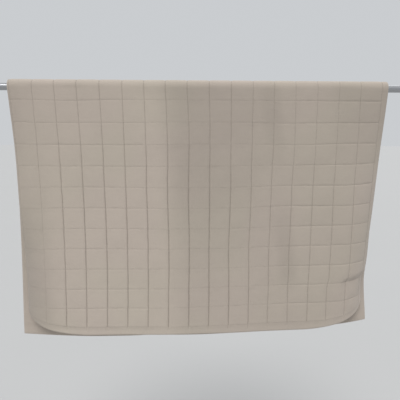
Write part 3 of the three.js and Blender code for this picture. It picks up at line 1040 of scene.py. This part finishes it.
class BEDSPREAD_OT_rod(bpy.types.Operator):
    """Adds the tube that the bedspread hangs on"""

    bl_idname = "bedspread.add_rod"
    bl_label = "Add Rod"

    def execute(self, context):
        """A tube wall's closed profile, with small chamfers, turned once about the X axis."""
        rod = context.scene.bedspread_rod
        radius = rod.diameter / 2
        bore = radius - rod.wall
        chamfer = rod.wall * CHAMFER_SHARE
        start = ROD_LOW[0]
        stop = start + rod.length
        profile = np.array(
            (
                (start, bore + chamfer), (start, radius - chamfer), (start + chamfer, radius),
                (stop - chamfer, radius), (stop, radius - chamfer), (stop, bore + chamfer),
                (stop - chamfer, bore), (start + chamfer, bore),
            )
        )
        turn = np.linspace(0, 2 * math.pi, rod.sides, endpoint=False)
        x = np.broadcast_to(profile[:, :1], (len(profile), rod.sides))
        y = profile[:, 1:] * np.cos(turn)
        z = profile[:, 1:] * np.sin(turn)
        points = np.stack((x, y, z), axis=-1).reshape(-1, 3)
        ring = np.arange(len(profile))[:, None] * rod.sides
        next_ring = np.roll(ring, -1, axis=0)
        side = np.arange(rod.sides)
        next_side = np.roll(side, -1)
        quads = np.stack((ring + side, ring + next_side, next_ring + next_side, next_ring + side), axis=-1)
        piece = add_mesh("rod_tube", points, quads.reshape(-1, 4))
        piece.data.set_sharp_from_angle(angle=SHARP_ANGLE)
        piece.data.materials.append(rod_finish(rod))
        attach(piece, "root")
        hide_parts("rod")
        return {"FINISHED"}


class BEDSPREAD_OT_cloth(bpy.types.Operator):
    """Adds the hung cloth with its quilting"""

    bl_idname = "bedspread.add_cloth"
    bl_label = "Add Cloth"

    def execute(self, context):
        """A closed sheet on grid lines that are closest beside the seams, round the rod and at the edges."""
        cloth = context.scene.bedspread_cloth
        drape = Drape(cloth, context.scene.bedspread_rod)
        edge = np.array(EDGE_LINES)
        across, kept_across = square_lines(LEFT_BORDER, drape.columns, drape.square)
        sides = np.concatenate((edge, drape.width - edge, CREASE_LINES_ACROSS))
        across, kept_across = with_lines(across, kept_across, sides)
        first_level = -drape.rows * drape.square - drape.offset
        along, kept_along = square_lines(first_level, 2 * drape.rows, drape.square)
        round_rod = np.linspace(-drape.quarter_turn, drape.quarter_turn, FOLD_LINES)
        ends = np.concatenate((drape.back_end + edge, drape.front_end - edge, round_rod, CREASE_LINES_ALONG))
        along, kept_along = with_lines(along, kept_along, ends)

        flat_across, flat_along = np.meshgrid(across, along)
        height = drape.seam_thickness + drape.relief(flat_across, flat_along)
        outer = drape.hung(flat_across, flat_along, height)
        chosen = np.ix_(kept_along, kept_across)
        lining_across, lining_along = flat_across[chosen], flat_along[chosen]
        upright, level, _ = drape.from_seams(lining_across, lining_along)
        puffed = (1 - np.exp(-upright / GROOVE_WIDTH)) * (1 - np.exp(-level / GROOVE_WIDTH))
        free = smooth_step(LINING_FROM, LINING_FULL, np.abs(lining_along))
        inside_edge = smooth_step(0.0, HEM_ROLL, drape.from_edge(lining_across, lining_along))
        inner = drape.hung(lining_across, lining_along, -LINING_PUFF * puffed * free * inside_edge)

        points, quads, triangles = closed_sheet(outer, inner, kept_along, kept_across)
        places = np.stack((flat_across, flat_along), axis=-1)
        flat = np.concatenate((places.reshape(-1, 2), places[chosen].reshape(-1, 2)))
        piece = add_mesh("quilted_cloth", points, quads, triangles, flat)
        piece.data.materials.append(cloth_finish(cloth, drape))
        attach(piece, "root")
        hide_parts("bedspread")
        return {"FINISHED"}


class BEDSPREAD_OT_stitches(bpy.types.Operator):
    bl_idname = "bedspread.add_stitches"
    bl_label = "Add Stitches"

    def execute(self, context):
        """Each stitch is a long octahedron that follows its seam: two ends, and four points round its
        middle."""
        cloth = context.scene.bedspread_cloth
        drape = Drape(cloth, context.scene.bedspread_rod)
        upright_seams = LEFT_BORDER + np.arange(drape.columns + 1) * drape.square
        level_seams = (np.arange(2 * drape.rows + 1) - drape.rows) * drape.square - drape.offset
        half_pitch = cloth.stitch_pitch / 2
        down = np.arange(level_seams[0] + half_pitch, level_seams[-1], cloth.stitch_pitch)
        over = np.arange(upright_seams[0] + half_pitch, upright_seams[-1], cloth.stitch_pitch)
        upright_across, upright_along = (grid.ravel() for grid in np.meshgrid(upright_seams, down))
        level_across, level_along = (grid.ravel() for grid in np.meshgrid(over, level_seams))
        across = np.concatenate((upright_across, level_across))
        along = np.concatenate((upright_along, level_along))
        runs_down = np.arange(len(across)) < len(upright_across)
        inside = drape.from_edge(across, along) > cloth.stitch_pitch
        across, along, runs_down = across[inside], along[inside], runs_down[inside]

        half = cloth.stitch_length / 2
        thread = cloth.thread_radius
        seam_height = drape.seam_thickness + drape.relief(across, along)

        def points_at(halves, aside, above):
            step_across = np.where(runs_down, aside * thread, halves * half)
            step_along = np.where(runs_down, halves * half, aside * thread)
            return drape.hung(across + step_across, along + step_along, seam_height + above * thread)

        around = np.stack([points_at(*point) for point in STITCH_POINTS], axis=1)
        shape = np.array(STITCH_FACES)
        first = np.arange(len(across))[:, None, None] * len(STITCH_POINTS)
        mirrored = np.where(runs_down[:, None, None], shape[:, ::-1], shape)
        triangles = (first + mirrored).reshape(-1, 3)
        piece = add_mesh("seam_stitches", around.reshape(-1, 3), triangles=triangles)
        piece.data.materials.append(thread_finish(cloth))
        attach(piece, "root")

        width, length, area = drape.flat_size()
        return {"FINISHED"}


def add_floor(stage):
    """A flat disc about the object, of rings whose radius grows with the square of their number."""
    middle = (CAD_BOX[0] + CAD_BOX[1]) / 2
    turn = np.linspace(0, 2 * math.pi, FLOOR_SPOKES)
    reach = stage.floor_radius * np.linspace(FLOOR_START, 1, FLOOR_RINGS)[:, None] ** 2
    x = middle.x + reach * np.cos(turn)
    y = middle.y + reach * np.sin(turn)
    points = np.stack((x, y, np.full_like(x, stage.floor_height)), axis=-1)
    floor = add_mesh("floor", points.reshape(-1, 3), grid_faces(*x.shape, 0, True))
    floor.data.materials.append(floor_finish(stage))


def add_light(scene, name, strength, softness, elevation, azimuth):
    """A soft sun that shines down from its elevation and azimuth."""
    light = bpy.data.lights.new(name, "SUN")
    light.energy = strength
    light.angle = softness
    lamp = bpy.data.objects.new(name, light)
    lamp.rotation_euler = (math.pi / 2 - elevation, 0, azimuth)
    scene.collection.objects.link(lamp)


def add_camera(scene, stage):
    """A camera whose axes come from its yaw, its pitch and its roll."""
    yaw, pitch, roll = stage.camera_yaw, stage.camera_pitch, stage.camera_roll
    forward = Vector((math.sin(yaw) * math.cos(pitch), math.cos(yaw) * math.cos(pitch), math.sin(pitch)))
    level = Vector((math.cos(yaw), -math.sin(yaw), 0))
    above = level.cross(forward)
    right = level * math.cos(roll) + above * math.sin(roll)
    up = above * math.cos(roll) - level * math.sin(roll)
    camera = bpy.data.objects.new("camera", bpy.data.cameras.new("camera"))
    camera.data.sensor_width = FRAME_WIDTH
    camera.data.lens = stage.lens
    turned = Matrix((right, up, -forward)).transposed().to_4x4()
    camera.matrix_world = Matrix.Translation(stage.camera_place) @ turned
    scene.collection.objects.link(camera)
    scene.camera = camera


class BEDSPREAD_OT_stage(bpy.types.Operator):
    """Adds the floor, the light and the camera"""

    bl_idname = "bedspread.add_stage"
    bl_label = "Add Stage"

    def execute(self, context):
        scene = context.scene
        stage = scene.bedspread_stage
        add_floor(stage)
        scene.world = bpy.data.worlds.new("soft_surround")
        scene.world.use_nodes = True
        scene.world.node_tree.nodes["Background"].inputs["Color"].default_value = opaque(stage.air_colour)
        scene.view_settings.view_transform = "Standard"
        key = (stage.key_strength, stage.key_softness, stage.key_elevation, stage.key_azimuth)
        fill = (stage.fill_strength, FILL_SOFTNESS, FILL_ELEVATION, FILL_AZIMUTH)
        add_light(scene, "key_light", *key)
        add_light(scene, "fill_light", *fill)
        add_camera(scene, stage)
        return {"FINISHED"}


OPERATORS = (BEDSPREAD_OT_rod, BEDSPREAD_OT_cloth, BEDSPREAD_OT_stitches, BEDSPREAD_OT_stage)


class BEDSPREAD_PT_panel(bpy.types.Panel):
    """The bedspread's settings and the steps that add it"""

    bl_idname = "BEDSPREAD_PT_panel"
    bl_label = "Bedspread"
    bl_space_type = "VIEW_3D"
    bl_region_type = "UI"
    bl_category = "Bedspread"

    def draw(self, context):
        scene = context.scene
        for settings in (scene.bedspread_cloth, scene.bedspread_rod, scene.bedspread_stage):
            box = self.layout.box()
            for name in settings.__annotations__:
                box.prop(settings, name)
        for operator in OPERATORS:
            self.layout.operator(operator.bl_idname)


SETTINGS = {
    "bedspread_cloth": BedspreadCloth,
    "bedspread_rod": BedspreadRod,
    "bedspread_stage": BedspreadStage,
}
CLASSES = (*SETTINGS.values(), *OPERATORS, BEDSPREAD_PT_panel)


def register():
    for each in CLASSES:
        bpy.utils.register_class(each)
    for name, group in SETTINGS.items():
        setattr(bpy.types.Scene, name, PointerProperty(type=group))


def unregister():
    for name in SETTINGS:
        delattr(bpy.types.Scene, name)
    for each in reversed(CLASSES):
        bpy.utils.unregister_class(each)


def main():
    register()
    bpy.ops.bedspread.add_rod()
    bpy.ops.bedspread.add_cloth()
    bpy.ops.bedspread.add_stitches()
    bpy.ops.bedspread.add_stage()


if __name__ == "__main__":
    main()
